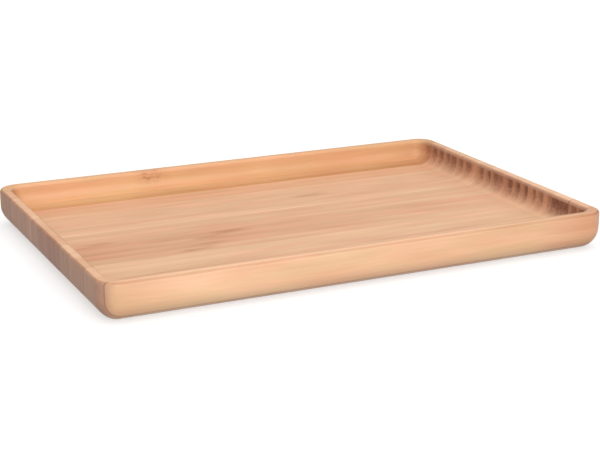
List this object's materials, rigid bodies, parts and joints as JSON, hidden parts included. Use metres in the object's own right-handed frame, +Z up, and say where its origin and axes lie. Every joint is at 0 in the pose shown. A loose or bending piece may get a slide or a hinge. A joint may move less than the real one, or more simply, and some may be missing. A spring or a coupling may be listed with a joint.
{
  "type": "serving tray",
  "caption": "Low rectangular serving tray with rounded corners, a flat coved pocket and a round underside, cut from a board of glued bamboo strips; it carries food and small items.",
  "frame": {"origin": "centre of the underside, on the surface that the tray stands on", "axes": "+X along the length and the grain, +Y from the front wall to the back wall, +Z up out of the pocket"},
  "size_m": [0.28, 0.191, 0.021],
  "materials": {
    "bamboo": "sanded side-pressed bamboo under a thin satin oil or lacquer, with grain along X"
  },
  "bodies": {
    "root": {"back_wall_strip": "bamboo", "back_cove_strip": "bamboo", "floor_strip_01": "bamboo", "floor_strip_02": "bamboo", "floor_strip_03": "bamboo", "floor_strip_04": "bamboo", "floor_strip_05": "bamboo", "floor_strip_06": "bamboo", "floor_strip_07": "bamboo", "floor_strip_08": "bamboo", "floor_strip_09": "bamboo", "floor_strip_10": "bamboo", "floor_strip_11": "bamboo", "floor_strip_12": "bamboo", "floor_strip_13": "bamboo", "floor_strip_14": "bamboo", "floor_strip_15": "bamboo", "floor_strip_16": "bamboo", "floor_strip_17": "bamboo", "floor_strip_18": "bamboo", "floor_strip_19": "bamboo", "floor_strip_20": "bamboo", "floor_strip_21": "bamboo", "front_cove_strip": "bamboo", "front_wall_strip": "bamboo"}
  },
  "joints": []
}
